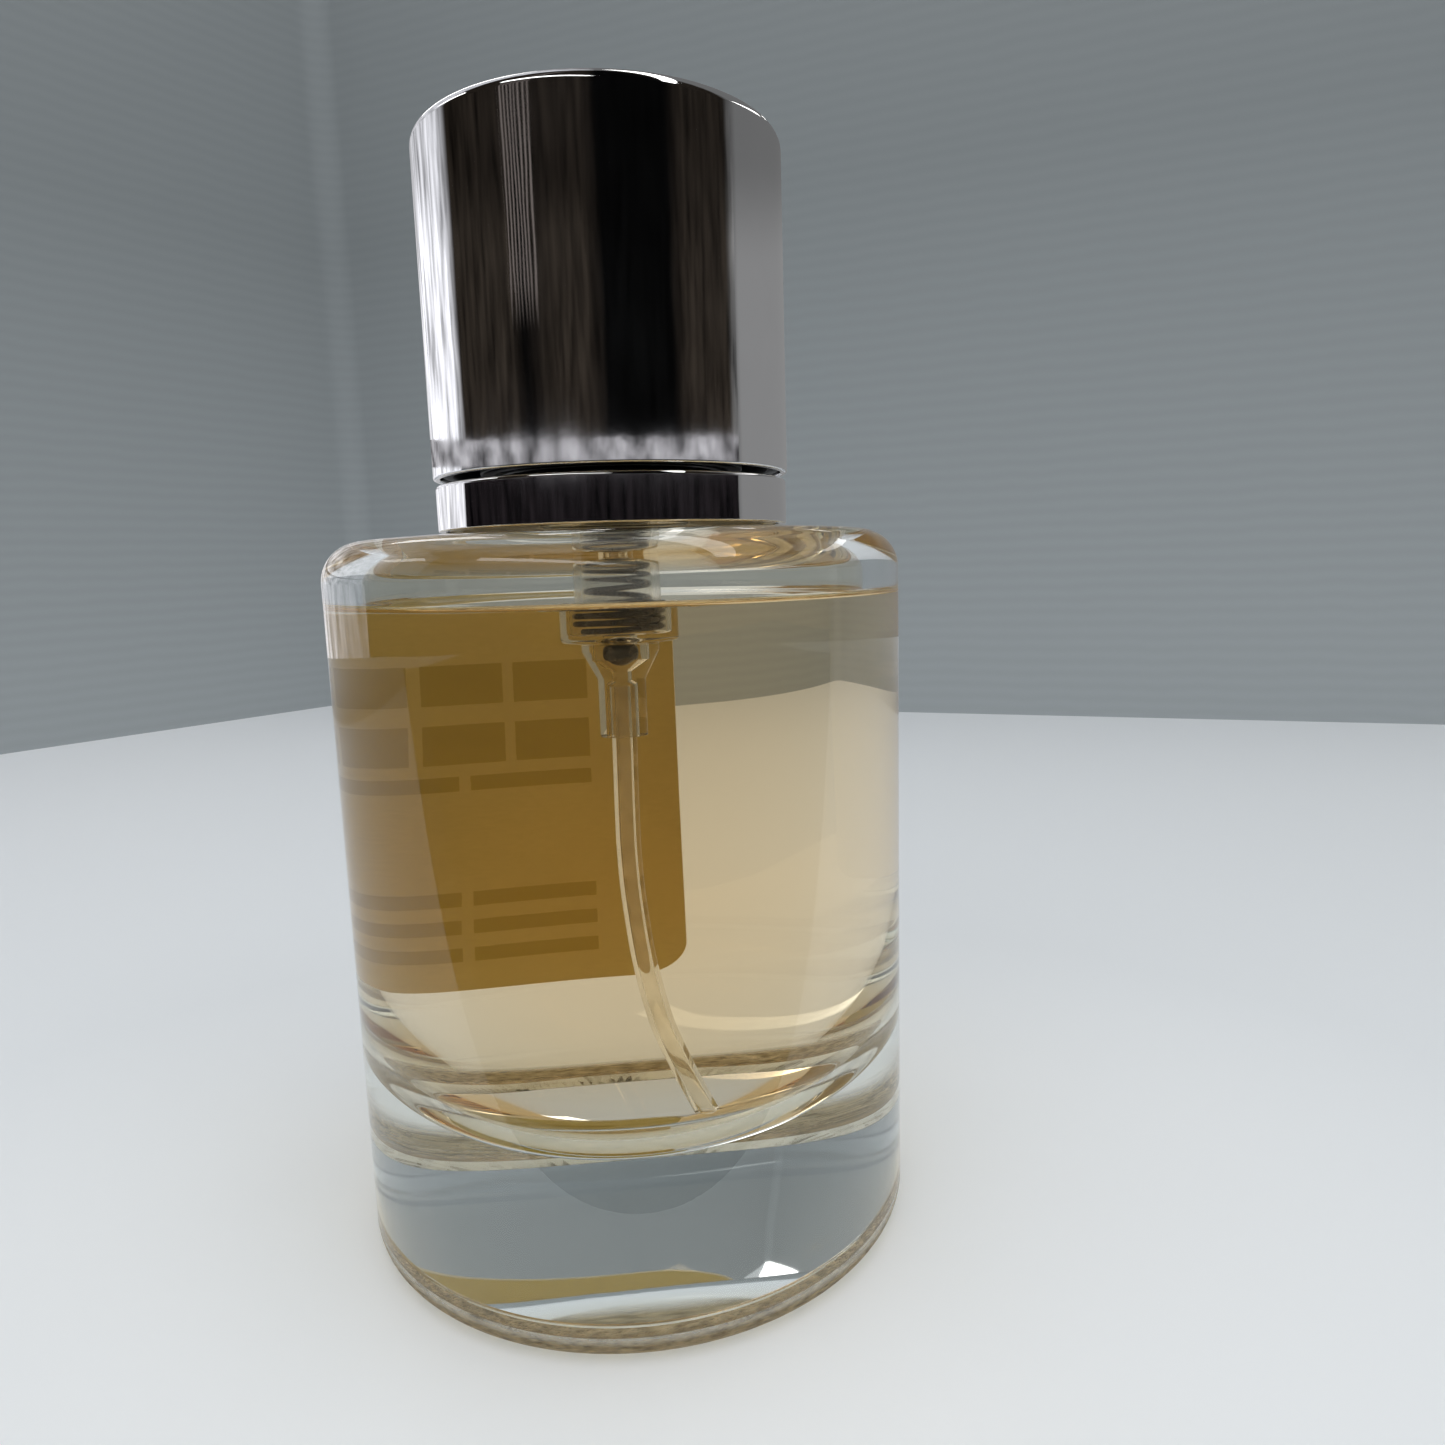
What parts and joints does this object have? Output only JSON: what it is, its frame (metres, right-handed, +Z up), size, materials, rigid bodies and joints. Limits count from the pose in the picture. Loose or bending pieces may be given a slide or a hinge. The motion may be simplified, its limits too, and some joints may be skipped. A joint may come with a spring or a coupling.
{
  "type": "perfume bottle",
  "caption": "Round thick-walled glass perfume bottle, filled, with a crimp spray pump, a dip tube, a chrome step collar, a front label and a lift-off chrome cap.",
  "frame": {"origin": "middle of the base, on the surface that the bottle stands on", "axes": "+Z up along the bottle's axis, -Y out of the middle of the label and the way the nozzle sprays, +X to the right of someone who reads the label"},
  "size_m": [0.05, 0.0502, 0.0942],
  "materials": {
    "clear_glass": "polished",
    "pale_gold_liquid": "polished",
    "label_paper": "satin",
    "gasket_rubber": "matte",
    "ferrule_aluminium": "satin",
    "translucent_plastic": "gloss",
    "spring_steel": "satin",
    "chrome": "polished",
    "white_plastic": "satin",
    "dark_plastic": "matte"
  },
  "bodies": {
    "bottle": {"glass_bottle": "clear_glass", "perfume": "pale_gold_liquid", "front_label": "label_paper", "neck_gasket": "gasket_rubber", "crimp_ferrule": "ferrule_aluminium", "turret": "translucent_plastic", "stem_gasket": "gasket_rubber", "pump_housing": "translucent_plastic", "dip_tube": "translucent_plastic", "collar_shell": "chrome", "collar_liner": "white_plastic"},
    "cap": {"cap_shell": "chrome", "cap_liner": "dark_plastic", "cap_sleeve": "dark_plastic"},
    "stem": {"stem": "white_plastic", "valve_rod": "white_plastic", "return_spring": "spring_steel", "valve_spring": "spring_steel"},
    "piston": {"piston": "white_plastic"},
    "button": {"button_core": "white_plastic", "button_sleeve": "chrome", "nozzle_insert": "white_plastic"},
    "ball": {"check_ball": "spring_steel"}
  },
  "joints": [
    {"name": "cap_lift", "type": "slide", "parent": "bottle", "child": "cap", "axis": [0, 0, 1], "range_m": [0, 0.035]},
    {"name": "pump_stroke", "type": "slide", "parent": "bottle", "child": "stem", "axis": [0, 0, -1], "range_m": [0, 0.0045], "stiffness_N_per_m": 1500, "springref_m": -0.004, "deforming": ["return_spring"]},
    {"name": "valve_slide", "type": "slide", "parent": "stem", "child": "piston", "axis": [0, 0, 1], "range_m": [0, 0.0006], "stiffness_N_per_m": 500, "springref_m": -0.002, "deforming": ["valve_spring"]},
    {"name": "button_turn", "type": "hinge", "parent": "stem", "child": "button", "pos_m": [0, 0, 0.0789], "axis": [0, 0, 1], "continuous": true},
    {"name": "ball_lift", "type": "slide", "parent": "bottle", "child": "ball", "axis": [0, 0, 1], "range_m": [0, 0.0006]}
  ]
}
